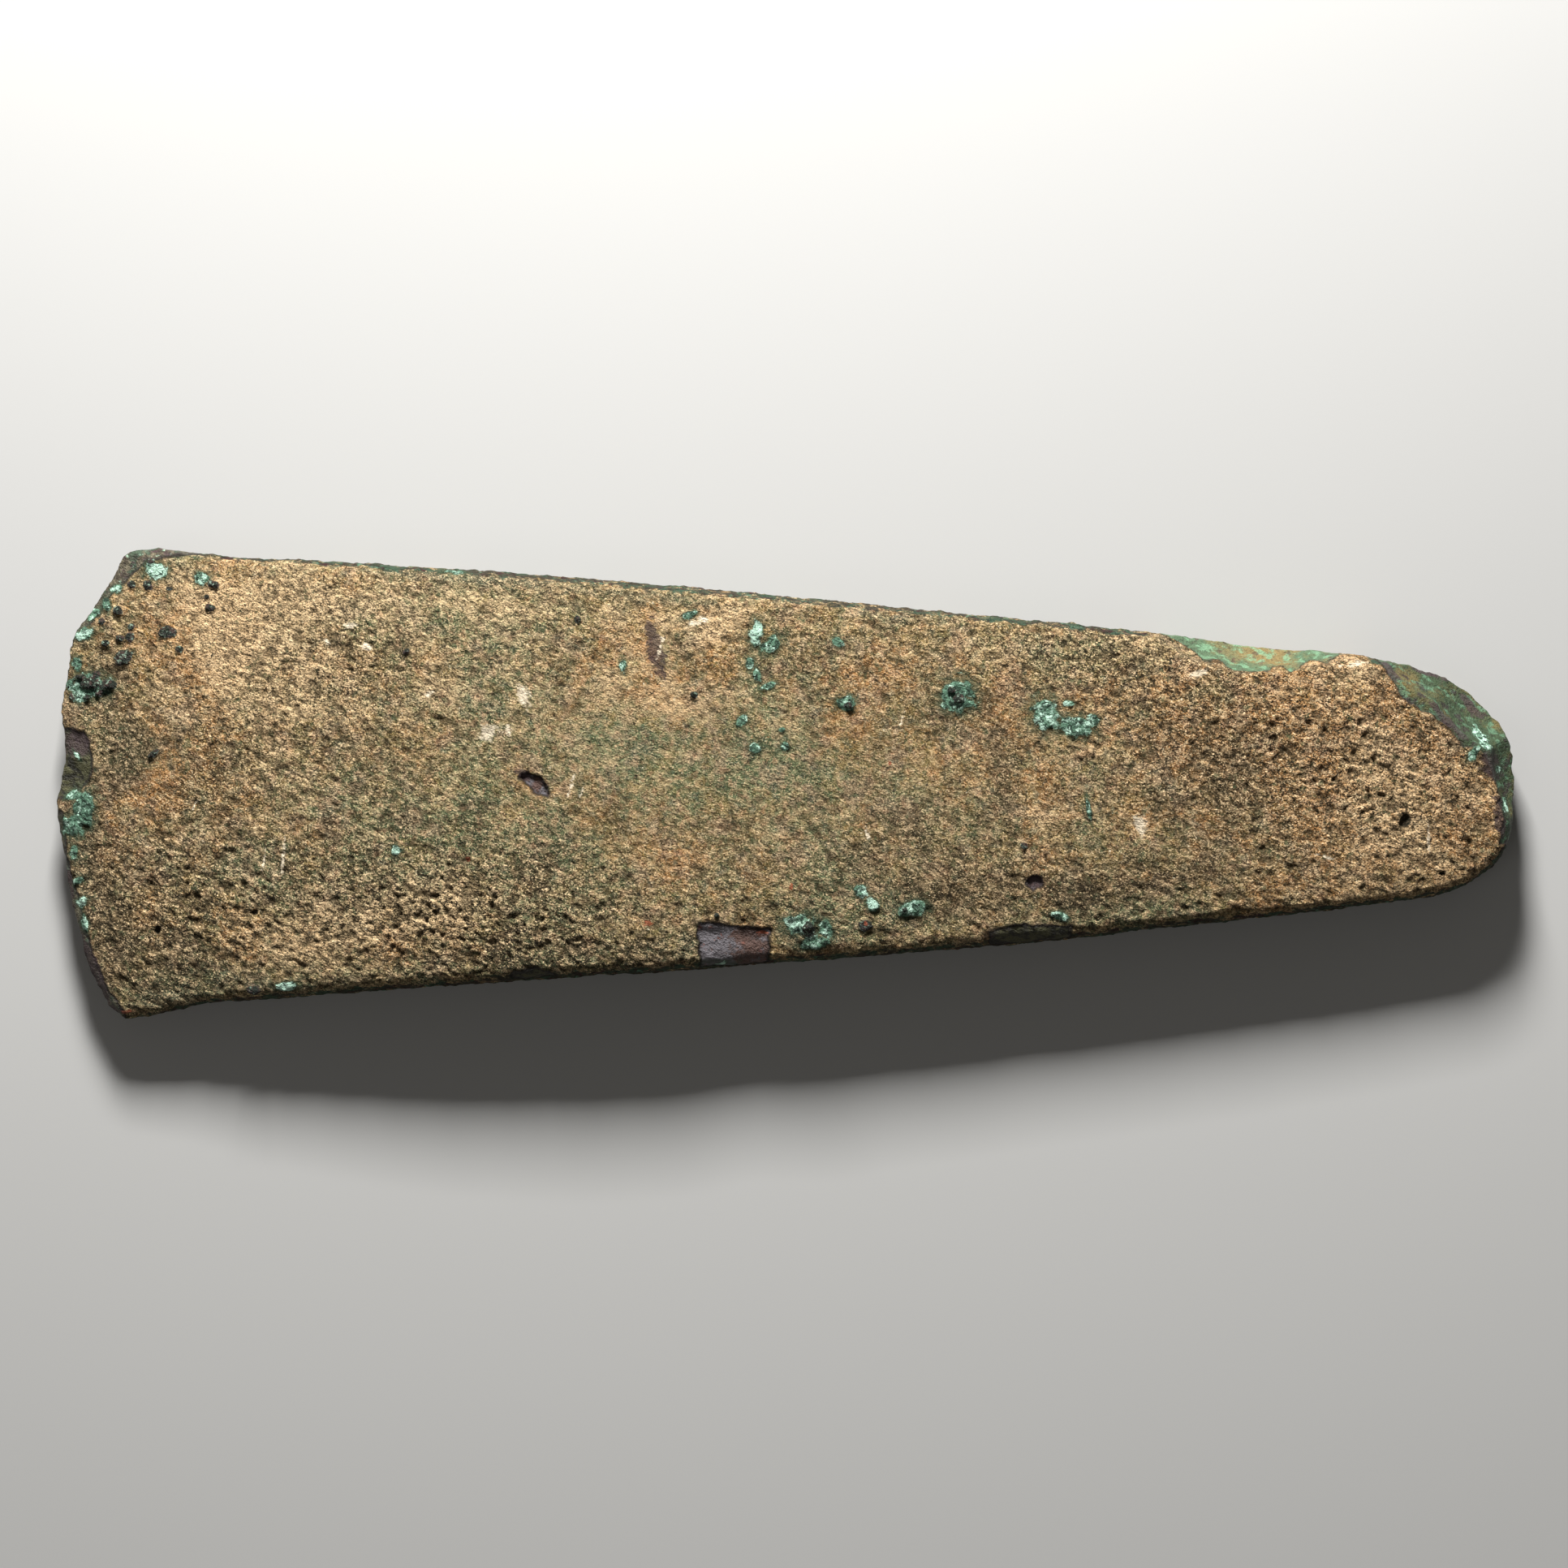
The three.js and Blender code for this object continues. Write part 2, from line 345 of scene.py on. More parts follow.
losses = [
    # the plate of crust gone from the lower side, a leaf-shaped loss and a round one
    ("metal", 0.22, [(-9.4, -14.8), (-6.6, -15.3), (-1.5, -15.7), (-1.9, -21), (-8.9, -21)]),
    ("metal", 0.50, [(-28.7, 0.8), (-27.9, 1.2), (-26.3, 0.7), (-25.5, -0.3), (-25.5, -1.4), (-27.1, -0.9)]),
    ("metal", 0.45, [(26.2, -10.8), (26.8, -10.0), (27.8, -10.2), (27.9, -11.3), (27.0, -11.8)]),
    # the butt's broken corner, along its inner border first
    (
        "green",
        0.10,
        [
            (64.6, 13.8), (66.2, 11.2), (67.6, 8.9), (69.3, 7.9), (70.9, 7.5), (72.3, 5.9),
            (73.9, 4.1), (75.5, 3.8), (76.6, 2.7), (77.0, 1.2), (77.8, -0.9), (78.2, -3.1),
            (77.9, -6.4), (82, -8), (84, 8), (76, 16), (66, 17),
        ],
    ),
    # the long flake on the upper side
    (
        "ochre",
        0.10,
        [
            (40.6, 18.5), (41.9, 16.1), (45.5, 14.1), (47.9, 13.0), (49.3, 12.1), (51.6, 12.3),
            (54.7, 12.6), (57.6, 13.4), (61.6, 14.6), (63, 18.5),
        ],
    ),
    # the chipped middle of the cutting edge, and its rubbed upper corner
    (
        "dark",
        0.22,
        [
            (-81, 6.2), (-78.3, 6.0), (-76.6, 5.6), (-75.9, 3.6), (-75.7, 1.4), (-76.5, 0.0),
            (-78.0, -1.3), (-81, -1.8),
        ],
    ),
    (
        "rubbed",
        0.10,
        [
            (-81, 15.2), (-77.6, 15.9), (-75.2, 18.4), (-73.8, 20.8), (-72.0, 22.4),
            (-69.6, 24.6), (-64.0, 25.4), (-62, 28), (-78, 28),
        ],
    ),
    # the thin worn metal of the lower half of the cutting edge
    (
        "rubbed",
        0.12,
        [
            (-82, -2), (-78.9, -3), (-78.6, -8), (-78.0, -10.4), (-77.0, -13.4), (-76.6, -15.8),
            (-75.6, -18.8), (-74.2, -22.2), (-72.4, -24.8), (-72, -28), (-82, -28),
        ],
    ),
    # small losses along the lower side
    ("dark", 0.12, [(22.3, -15.9), (26.0, -15.2), (31.2, -15.5), (31.0, -18.5), (22.5, -18.5)]),
    ("dark", 0.15, [(-29.4, -20.4), (-27.0, -19.9), (-25.0, -20.6), (-25.0, -23), (-29.4, -23)]),
]
wobble = 0.24 * rolling(spot, 1.3, 31) + 0.16 * rolling(spot, 0.6, 32)
side_wobble = 1.1 * rolling(spot, 2.6, 36)
no_loss = -9.0
lowest_loss = 1.2  # in mm above the table
bare = np.full(len(x), no_loss)
loss_depth = np.zeros(len(x))
looks = {look: np.zeros(len(x)) for look in ("green", "ochre", "rubbed", "dark")}
edge = side.copy()
for look, depth, outline in losses:
    reach = np.where(z > lowest_loss, within(outline) + wobble, no_loss)
    if look in ("metal", "dark"):
        reach = np.minimum(reach, 1.6 + side_wobble - down_side)
    if look == "ochre":
        reach = reach + side * side_wobble
    loss_depth = np.where(reach > bare, depth, loss_depth)
    if look == "ochre":
        edge = edge * (1 - ramp(reach, -2.4, -1.4))
    if look in looks:
        looks[look] = np.maximum(looks[look], ramp(reach, -0.4, 0.2))
    bare = np.maximum(bare, reach)
cover = 1 - ramp(bare, -0.12, 0.12)
bare_relief = 0.06 * rolling(spot, 1.8, 33) + 0.05 * rolling(spot, 0.7, 34) - loss_depth


# Copper minerals: pale green malachite grown through the crust as flat lumpy patches, and
# hard dark nodules of copper oxide like shot, thickest at the blade's upper corner. The last
# number of a patch of malachite is how chalky it is.
malachite_places = [
    (-68.6, 23.3, 1.4, 1.0, 0, 0.9),
    (-63.3, 22.5, 0.95, 0.95, 0, 0.4),
    (-76.6, 16.5, 1.2, 0.7, 25, 0.9),
    (-75.7, 18.6, 0.9, 0.5, 50, 0.4),
    (-74.2, 19.6, 0.5, 0.9, 20, 0.0),
    (-73.1, 21.4, 0.8, 0.5, 20, 0.9),
    (-75.9, 10.8, 2.4, 1.4, 0, 0.0),
    (-78.2, 10.7, 0.7, 0.7, 0, 0.4),
    (-77.0, 9.4, 1.0, 0.6, 0, 0.4),
    (-77.4, 13.2, 0.7, 0.9, 0, 0.0),
    (-76.6, -2.9, 1.3, 2.2, -8, 0.0),
    (-77.8, -4.6, 1.5, 1.2, 0, 0.0),
    (-78.0, -1.2, 0.9, 0.6, 20, 0.4),
    (-77.5, 3.2, 0.8, 0.3, -50, 0.6),
    (-77.4, -10.6, 0.8, 0.4, 30, 0.5),
    (-76.9, -12.9, 0.8, 0.6, 30, 1.0),
    (-76.6, -15.2, 0.5, 1.0, 10, 0.8),
    (-77.7, -7.6, 0.5, 1.1, 0, 0.1),
    (-42.0, -7.2, 0.7, 0.6, 0, 0.9),
    (-54.2, -22.0, 1.5, 0.8, 0, 1.0),
    (-36.0, 23.2, 2.6, 0.5, -3, 0.4),
    (-47.5, 24.0, 1.6, 0.3, -3, 0.2),
    (-10.3, 18.3, 1.0, 0.4, 20, 0.3),
    (-3.1, 16.4, 0.85, 1.6, -4, 1.0),
    (-1.4, 15.0, 1.4, 0.85, 25, 0.3),
    (-3.7, 13.2, 0.5, 0.9, 15, 0.5),
    (-2.9, 11.8, 0.4, 1.0, 20, 0.1),
    (-1.6, 10.7, 1.1, 0.4, 25, 0.0),
    (5.7, 15.3, 0.75, 0.65, 0, 0.1),
    (-4.5, 6.9, 0.65, 0.8, 0, 0.0),
    (-3.0, 3.9, 0.8, 0.7, 0, 0.2),
    (0.0, 4.1, 0.6, 0.5, 0, 0.0),
    (-0.2, 5.9, 0.4, 0.3, 0, 0.2),
    (6.8, 8.7, 0.95, 0.95, 0, 0.1),
    (18.7, 9.6, 2.1, 2.0, 45, 0.1),
    (28.3, 7.5, 1.6, 2.0, 12, 0.4),
    (31.5, 6.2, 2.2, 1.2, -8, 0.3),
    (33.4, 6.9, 0.8, 0.7, 0, 0.3),
    (30.7, 8.7, 0.7, 0.4, 0, 0.4),
    (8.4, -11.6, 1.1, 0.6, -35, 1.0),
    (9.6, -12.9, 0.6, 1.0, 15, 1.0),
    (13.9, -13.5, 1.7, 1.0, 10, 0.5),
    (1.5, -15.2, 1.7, 1.4, 0, 0.7),
    (3.4, -17.2, 1.6, 0.8, 10, 0.2),
    (4.5, -15.6, 0.8, 1.2, 10, 0.2),
    (29.9, -14.3, 1.0, 0.5, -20, 0.6),
    (33.0, -2.6, 0.25, 1.9, 8, 0.3),
    (-17.4, 12.7, 0.4, 0.9, 0, 0.4),
    (-6.5, -19.7, 2.4, 0.5, 0, 0.6),
    (76.1, 5.1, 1.7, 0.8, -62, 0.45),
    (74.9, 3.3, 1.1, 0.5, 50, 0.4),
    (78.0, 1.6, 0.5, 0.5, 0, 0.5),
    (78.6, -2.4, 0.4, 0.9, 0, 0.6),
]
nodule_places = [
    (-67.2, 16.5, 0.95, 0.8, 0),
    (-62.1, 21.7, 0.75, 0.45, -20),
    (-72.2, 13.8, 1.2, 0.9, 30),
    (-71.3, 21.8, 0.5, 0.5, 0),
    (-69.5, 21.7, 0.6, 0.6, 0),
    (-67.1, 21.3, 0.4, 0.3, 0),
    (-72.8, 18.9, 0.6, 0.5, 0),
    (-74.6, 17.8, 0.4, 0.4, 0),
    (-71.4, 16.0, 0.65, 0.6, 0),
    (-72.5, 15.9, 0.5, 0.4, 0),
    (-71.3, 17.2, 0.45, 0.4, 0),
    (-74.2, 15.4, 0.45, 0.4, 0),
    (-69.2, 24.4, 0.5, 0.4, 0),
    (-65.9, 14.7, 0.5, 0.4, 0),
    (-62.9, 20.4, 0.35, 0.3, 0),
    (-62.5, 19.2, 0.6, 0.5, 0),
    (-75.9, 10.9, 1.3, 0.7, 10),
    (-73.9, 10.8, 1.0, 0.7, 10),
    (-77.0, 11.7, 0.6, 0.4, 0),
    (-75.2, 12.0, 0.5, 0.4, 0),
    (-76.2, 9.5, 0.5, 0.4, 0),
    (-74.9, 9.9, 0.5, 0.4, 0),
    (-77.9, 9.6, 0.4, 0.4, 0),
    (-57.8, -22.4, 0.8, 0.5, 0),
    (18.9, 9.3, 0.7, 0.6, 0),
    (18.2, 10.2, 0.5, 0.4, 0),
    (6.9, 8.5, 0.5, 0.4, 0),
    (8.8, -15.3, 0.8, 0.7, 0),
    (2.6, -15.7, 0.7, 0.9, 0),
    (26.0, -6.7, 0.5, 0.45, 0),
    (-68.7, 3.3, 0.9, 0.35, 40),
    (-9.7, 9.6, 0.5, 0.4, 0),
    (13.0, -13.6, 0.35, 0.3, 0),
    (-40.9, 14.4, 0.5, 0.3, 30),
    (-22.3, 17.8, 0.4, 0.5, 0),
    (-7.3, -14.2, 0.3, 0.3, 0),
]
hole_places = [
    (67.5, -4.0, 0.7, 0.9, -15),
    (-57.6, -14.0, 0.5, 0.35, 0),
    (71.6, -9.7, 0.4, 0.25, 0),
    (-68.4, -16.0, 0.4, 0.6, 0),
]

below = np.random.default_rng(5)
patches_below = 24
under_places = [
    (
        below.uniform(-70, 70),
        below.uniform(-14, 14),
        below.uniform(0.5, 1.6),
        below.uniform(0.5, 1.2),
        0,
    )
    for _ in range(patches_below)
]
chalky = patches(malachite_places)
malachite = np.where(on_top, depth_in(malachite_places) - 0.45 * down_side, depth_in(under_places))
malachite = malachite + 0.42 * rolling(spot, 0.9, 41) + 0.32 * rolling(spot, 0.45, 42)
lumps = packed(spot, 0.55, 43)
nodule = np.where(on_top, depth_in(nodule_places) + 0.34 * rolling(spot, 0.6, 44), nowhere)
holes = np.where(on_top, depth_in(hole_places) + 0.3 * rolling(spot, 0.7, 45), nowhere)
malachite_mm, lump_mm = 0.08, 0.26
nodule_mm, hole_mm = 0.42, 0.45
minerals_relief = (
    ramp(malachite, -0.1, 0.35) * (malachite_mm + lump_mm * lumps)
    + nodule_mm * np.sqrt(np.clip(nodule * 1.6, 0, 1))
    - hole_mm * ramp(holes, 0, 0.4)
)

relief = cover * crust_relief + (1 - cover) * bare_relief + minerals_relief * (0.35 + 0.65 * cover)
side_relief = 0.15 * rolling(spot, 3.1, 51) + 0.15 * rolling(spot, 1.3, 52)
side_relief = side_relief + 0.11 * rolling(spot, 0.6, 53)
relief = relief * (1 - 0.6 * side) + side * side_relief
relief = np.where(facing_up < -0.6, np.minimum(relief, 0.0), relief)
thin_metal = ramp(x, -76.0, -79.4)
relief = relief * (1 - 0.3 * thin_metal)

surface = spot + outward * relief[:, None]
surface[:, 2] = np.maximum(surface[:, 2], low.z / MM)
form.vertices.foreach_set("co", surface.ravel())
form.update()
fine_triangles = len(form.loops) - 2 * len(form.polygons)
skin = shaped(
    form,
    "skin",
    [("DECIMATE", {"ratio": most_triangles / fine_triangles, "use_collapse_triangulate": True})],
)

# The crust's tints, place by place: reddish earth above 0 and olive below it, then light
# above 0 and dark below it. After them come the pale, orange and violet marks, and the
# crust that copper salts have stained green.
hue_places = [
    (-62, 21.5, 8, 2.5, -3, 0.7),
    (-62, 15, 5, 4.5, 0, 1.8),
    (-70, 18, 5, 5, 0, 0.4),
    (-51, 15, 4, 5, 0, 0.3),
    (-47, 22, 5, 1.5, -3, 0.4),
    (-68, -0.5, 4.6, 4, 0, 0.9),
    (-62, 6, 7, 4, 0, 0.3),
    (-74, -7, 2.5, 3, 0, 0.8),
    (-52, -5, 3.5, 2, 0, 0.6),
    (-60, -16, 3, 4, 0, 0.8),
    (-53, -16.5, 3, 2.5, 0, 0.8),
    (-70, -14, 3, 3, 0, 0.4),
    (-43, -16, 2.5, 3.5, 0, 0.7),
    (-35, -13, 3, 4, 0, 0.4),
    (-20, 15, 2, 5, 0, 0.3),
    (-15, 14, 1.6, 5, 10, 0.8),
    (-7.5, 15, 2.5, 3.5, 0, 0.7),
    (-13, 9.5, 4, 2, 0, 0.5),
    (-12, -8.5, 4.5, 2.6, 30, 0.6),
    (-15, -15, 2.5, 2, 0, 0.5),
    (11, 14, 4, 4, 0, 0.5),
    (8, 7, 3, 4, 0, 0.4),
    (23, 7, 3, 6, 0, 0.6),
    (28, -3, 2, 6, 12, 0.7),
    (16, -11, 6, 2, 0, 0.4),
    (42, 8, 12, 8, 0, 0.5),
    (60, 9.5, 6.5, 3.5, -8, 1.7),
    (64, 1, 16, 12, 0, 1.1),
    (-67, 25.0, 6, 0.8, 0, -0.8),
    (63, -5, 4.5, 3.5, 0, 1.8),
    (75, -3, 2.8, 4, 0, 1.7),
    (52, -12, 3, 2.5, 0, 0.7),
    (-27, 0, 2, 1.2, -25, 0.9),
    (-3.6, -17.4, 2.0, 3, 0, 1.6),
    (-7.8, -17.4, 2.0, 3, 0, -0.9),
    (-77, 3.4, 1.2, 1.5, 0, 0.8),
    (-72.2, 4.0, 2.4, 3.0, 0, -1.6),
    (-55, 16, 2.5, 3, 0, -0.3),
    (-37, 18.5, 11, 3.2, -4, -0.9),
    (30, 14.5, 10, 2.5, -5, -0.5),
    (-18, -14, 6, 4, 0, -0.5),
    (-31, 13, 3.5, 6, 0, -0.7),
    (-33, 5, 4, 5, 0, -0.7),
    (-35, -4, 5, 3.5, 0, -0.9),
    (-38, -10, 8, 4, 0, -0.8),
    (-45, -3, 7, 5, 0, -0.7),
    (-57, -10, 5, 4, 0, -0.8),
    (-66, -9, 3, 2, 0, -0.5),
    (-26, -6, 5, 3, 0, -0.8),
    (-20, 4, 9, 4, -15, -0.6),
    (-10, 2, 10, 5, -10, -0.6),
    (-2.5, 5, 3, 5, 0, -1.0),
    (3, 0.5, 9, 4, 0, -0.5),
    (-27, -15, 6, 5, 0, -0.4),
    (5, -8, 2.2, 5, 10, -0.8),
    (10, -13.5, 7, 3, 5, -1.2),
    (20, -5, 3, 3, 0, -0.45),
    (33, -3, 2.2, 5, 0, -0.6),
    (36, -14, 10, 1.6, 5, -0.8),
    (-20, -19, 14, 1.6, 4, -0.6),
    (-46, -21, 12, 1.8, 3, -0.5),
    (-67, -22, 7, 2.2, 5, -0.8),
]
flake_hue_places = [
    (67.8, 11.2, 1.6, 1.0, -35, 1.4),
    (52.5, 14.5, 4, 1.6, -8, 1.3),
]
# Light above 0 and dark below it: lighter along the upper side and darker along much of the lower side,
# partly the crust's own tone and partly painted light and shade.
tone_and_shade_places = [
    (-60, 14, 7, 6, 0, 1.1),
    (-57, 20, 8, 2.6, -3, 1.0),
    (-67, 22, 5, 2, 0, 0.5),
    (-43, 20, 14, 3, -4, 0.45),
    (-20, 19, 12, 2.4, -4, 0.4),
    (-54, -17, 9, 4, 0, 0.8),
    (-38, -14, 10, 4, 0, 0.8),
    (-53, 9, 8, 5, 0, 0.35),
    (-36, 11, 9, 7, 0, 0.35),
    (-18, 11, 10, 5, 0, 0.3),
    (-8.3, 17, 1.9, 2, 0, 1.2),
    (-23, 0.5, 2.5, 2, 20, 0.5),
    (-51, 1, 5, 5, 0, 0.25),
    (10, 15.5, 6, 2.6, -4, 0.3),
    (28, 14.8, 9, 2, -4, 0.3),
    (67, -1, 11, 8, 0, 0.8),
    (62, -9, 8, 4, 0, 0.5),
    (60, 12.6, 5, 1.6, -10, 0.7),
    (27.5, -3, 1.4, 5, 12, 0.6),
    (38.5, -4.5, 1.6, 2.6, 25, 0.5),
    (7, 5, 2, 4, 0, 0.3),
    (14, -4, 9, 5, 0, -0.35),
    (-67, 25.0, 6, 0.8, 0, -0.4),
    (-74, 12, 3, 3, 0, -0.5),
    (-72.0, 3.8, 3.2, 3.2, 0, -1.4),
    (-70, -8, 6, 5, 0, -0.35),
    (-69, -19, 7, 5, 0, -0.8),
    (-75.5, -13, 2.6, 9, 10, -0.7),
    (-55, -10, 7, 3, 0, -0.25),
    (-28, -9, 5, 4, 0, -0.5),
    (-32, -17, 5, 3, 0, -0.4),
    (-18, -18.5, 13, 2, 4, -0.5),
    (1, -15.5, 5, 2.5, 0, -0.4),
    (18.7, 9.5, 3, 3, 0, -0.5),
    (23.5, 2, 1.6, 8, 15, -0.5),
    (15, -7, 5, 4, 0, -0.3),
    (22, -12.5, 12, 2.6, 5, -0.5),
    (37, -10.5, 10, 3, 5, -0.7),
    (45, -2, 7, 6, 0, -0.4),
    (55, -5, 6, 5, 0, -0.4),
    (50, 5, 7, 5, 0, -0.3),
    (31, 12, 5, 2, 0, -0.3),
    (75, -7, 3, 3, 0, -0.4),
]
pale_places = [
    (-28.2, 9.6, 0.9, 1.6, 12),
    (-32.1, 5.6, 1.1, 1.3, 0),
    (-29.9, 5.8, 0.5, 0.7, 0),
    (-38.4, 9.8, 0.9, 0.4, 25),
    (-9.4, 17.6, 1.5, 0.6, 20),
    (38.6, -4.4, 0.8, 1.8, 20),
    (-13.4, 14.8, 0.28, 2.2, -14),
    (-54.4, -7.6, 0.25, 3.0, -5),
    (-56.6, -8.6, 0.2, 2.4, -8),
    (-64.1, -2.2, 0.2, 1.5, -25),
    (-23.0, 0.0, 0.22, 1.8, -18),
    (-21.8, -0.8, 0.2, 1.5, -25),
    (45.0, 12.0, 1.3, 0.5, 20),
    (62.0, 13.0, 1.8, 0.4, 10),
    (9.0, -5.4, 0.25, 1.4, 20),
    (12.8, 7.0, 0.18, 1.5, -20),
    (70.0, -6.0, 0.25, 2.0, 0),
    (59.0, -8.0, 2.2, 0.25, -15),
    (-49.5, 15.5, 0.6, 0.5, 0),
    (-45.2, 14.9, 0.8, 0.6, 0),
    (-47.0, 17.2, 0.9, 0.4, 0),
]
orange_places = [
    (-14.7, -15.1, 0.7, 0.45, 0),
    (0.8, -11.1, 0.3, 0.6, 0),
    (-34.2, -8.1, 0.35, 0.35, 0),
    (-6.8, -16.5, 0.25, 0.5, 20),
    (-2.4, -16.1, 1.0, 0.25, -8),
    (11.5, 2.3, 0.3, 0.3, 0),
    (3.2, -15.7, 0.25, 0.25, 0),
    (8.9, -15.1, 0.3, 0.3, 0),
    (-71.8, -24.9, 1.0, 0.3, 10),
]
violet_places = [
    (66.2, 12.0, 1.8, 0.6, -58),
    (72.2, 6.9, 3.2, 0.6, -45),
    (77.0, 2.0, 2.2, 1.4, -70),
    (77.9, -3.4, 2.6, 0.8, -85),
    (-75.6, -20.2, 5.4, 0.7, -66),
    (43.9, 15.8, 1.0, 0.7, -45),
    (-13.6, 21.6, 1.8, 0.3, -5),
    (-14.0, 14.5, 1.0, 4.0, 10),
    (-77.4, 4.5, 1.9, 1.7, 0),
    (-28.0, 0.9, 1.2, 0.5, -25),
    (70.6, 12.3, 3.4, 0.4, -20),
    (75.4, 8.6, 2.2, 0.5, -48),
    (42.5, 16.6, 1.2, 0.5, -40),
    (27.2, -10.6, 1.0, 0.7, 0),
    (-78.5, -11.0, 0.6, 2.6, 12),
    (-24.0, 22.6, 2.6, 0.3, -5),
    (-57.8, -22.4, 1.2, 0.6, 0),
    (3.0, -16.0, 0.8, 1.0, 0),
]
stain_places = [
    (-15.7, 3.8, 2.6, 1.3, 0, 0.7),
    (-30.5, 9.0, 1.5, 7.0, 0, 0.4),
    (-62.0, -20.5, 5.0, 2.0, 0, 0.5),
    (2.4, -16.0, 3.6, 2.6, 0, 1.3),
    (13.6, -13.7, 3.0, 1.9, 0, 0.7),
    (8.9, -12.3, 2.0, 2.2, 0, 0.5),
    (18.7, 9.6, 3.0, 3.0, 0, 0.6),
    (-66.8, 23.2, 5.0, 1.5, 0, 0.6),
    (-3.0, 12.6, 1.6, 4.6, 0, 0.5),
    (-1.8, 4.2, 4.0, 1.8, 0, 0.5),
    (-76.6, -3.0, 2.2, 4.0, 0, 0.9),
    (-76.2, 10.2, 3.0, 2.4, 0, 0.8),
    (-76.3, -9.8, 2.0, 4.0, 15, 0.6),
    (-68.0, -23.5, 6.0, 1.4, 8, 0.9),
    (-10.3, -17.4, 1.4, 3.4, 0, 0.6),
    (-36, 22.6, 14, 1.2, -5, 0.9),
    (-14, 20.2, 10, 1.1, -5, 0.8),
    (15, 17.8, 8, 1.0, -4, 0.7),
    (-55, -22, 5, 1.2, 0, 0.7),
    (30, -14.6, 4, 1.4, 5, 0.5),
    (75.9, -7.4, 2.2, 2.8, 0, 0.6),
]
measures = {
    "crumbs": crumbs * coarseness,
    "bare": bare,
    "edge": edge,
    "malachite": malachite,
    "chalky": np.where(on_top, chalky, 0.3),
    "nodule": nodule,
    "holes": holes,
    "pale": np.where(on_top, depth_in(pale_places), nowhere),
    "orange": np.where(on_top, depth_in(orange_places), nowhere),
    "violet": np.where(on_top, depth_in(violet_places) - 0.3 * down_side, nowhere),
    "coarse": coarse,
    "hue": np.where(on_top, patches(hue_places), 0.0),
    "flake_hue": patches(flake_hue_places),
    "tone": np.where(on_top, patches(tone_and_shade_places), 0.0),
    "stain": np.where(on_top, patches(stain_places), 0.2),
    "green_loss": looks["green"],
    "ochre_loss": looks["ochre"],
    "rubbed_loss": looks["rubbed"],
    "dark_loss": looks["dark"],
}

# Every finished point takes its measures from the nearest point of the fine form.
fine_points = KDTree(len(surface))
for index, place in enumerate(surface):
    fine_points.insert(place, index)
fine_points.balance()
picked = np.array([fine_points.find(vertex.co)[1] for vertex in skin.vertices])
for name, values in measures.items():
    layer = skin.attributes.new(name, "FLOAT", "POINT")
    layer.data.foreach_set("value", values[picked].astype(np.float32))
skin.vertices.foreach_set("co", (triples(skin.vertices, "co") * MM).ravel())
skin.shade_smooth()
skin.update()


# The finish: dry earth that scatters light with no gloss, tan to olive, with painted shade
# between its grains and painted highlights on their tops. Bare metal is violet-brown and faintly
# glossy, malachite is chalky green, and the nodules are nearly black.
finish = bpy.data.materials.new("crusted_copper")
finish.use_nodes = True
tree = finish.node_tree
shader = tree.nodes["Principled BSDF"]


def seen(red, green, blue):
    """A colour as seen on a screen, 0 to 255, as the renderer counts light."""
    parts = []
    for part in (red / 255, green / 255, blue / 255):
        parts.append(part / 12.92 if part <= 0.04045 else ((part + 0.055) / 1.055) ** 2.4)
    return (*parts, 1.0)


def feed(socket, value):
    """Sets a socket to a value, or links another socket into it."""
    if isinstance(value, bpy.types.NodeSocket):
        tree.links.new(value, socket)
    else:
        socket.default_value = value


def measure(name):
    """One of the head's own measures, point by point."""
    node = tree.nodes.new("ShaderNodeAttribute")
    node.attribute_name = name
    return node.outputs["Fac"]


def between(value, start, end, least=0.0, most=1.0):
    """Eases from least to most as value goes from start to end."""
    node = tree.nodes.new("ShaderNodeMapRange")
    node.interpolation_type = "SMOOTHSTEP"
    feed(node.inputs["Value"], value)
    node.inputs["From Min"].default_value = start
    node.inputs["From Max"].default_value = end
    node.inputs["To Min"].default_value = least
    node.inputs["To Max"].default_value = most
    return node.outputs["Result"]


def math_of(operation, first, second):
    """One operation on two numbers, each a socket or a plain number."""
    node = tree.nodes.new("ShaderNodeMath")
    node.operation = operation
    feed(node.inputs[0], first)
    feed(node.inputs[1], second)
    return node.outputs["Value"]


def frayed(value, noise, amount):
    """The value with noise round 0.5 added, so that its borders are ragged."""
    return math_of("ADD", value, math_of("MULTIPLY", math_of("SUBTRACT", noise, 0.5), amount))


def laid(share, under_it, over_it, kind="RGBA"):
    """The first colour or number, with a share of the second laid on it."""
    node = tree.nodes.new("ShaderNodeMix")
    node.data_type = kind
    sockets = [socket for socket in node.inputs if socket.enabled]
    feed(sockets[0], share)
    feed(sockets[1], under_it)
    feed(sockets[2], over_it)
    return next(socket for socket in node.outputs if socket.enabled)


coordinates = tree.nodes.new("ShaderNodeTexCoord")
in_mm = tree.nodes.new("ShaderNodeVectorMath")
in_mm.operation = "SCALE"
in_mm.inputs["Scale"].default_value = 1 / MM
tree.links.new(coordinates.outputs["Object"], in_mm.inputs[0])
along_ripples = tree.nodes.new("ShaderNodeMapping")
along_ripples.vector_type = "TEXTURE"
along_ripples.inputs["Rotation"].default_value = (0, 0, ripple_turn)
along_ripples.inputs["Scale"].default_value = (1 / ripple_stretch, 1, 1)
tree.links.new(in_mm.outputs["Vector"], along_ripples.inputs["Vector"])


def cloud(size_mm, detail, shift, way=in_mm):
    """Noise round 0.5 with patches of that size."""
    node = tree.nodes.new("ShaderNodeTexNoise")
    node.noise_dimensions = "4D"
    node.inputs["W"].default_value = shift
    node.inputs["Scale"].default_value = 1 / size_mm
    node.inputs["Detail"].default_value = detail
    node.inputs["Roughness"].default_value = 0.62
    tree.links.new(way.outputs["Vector"], node.inputs["Vector"])
    return node.outputs["Fac"]


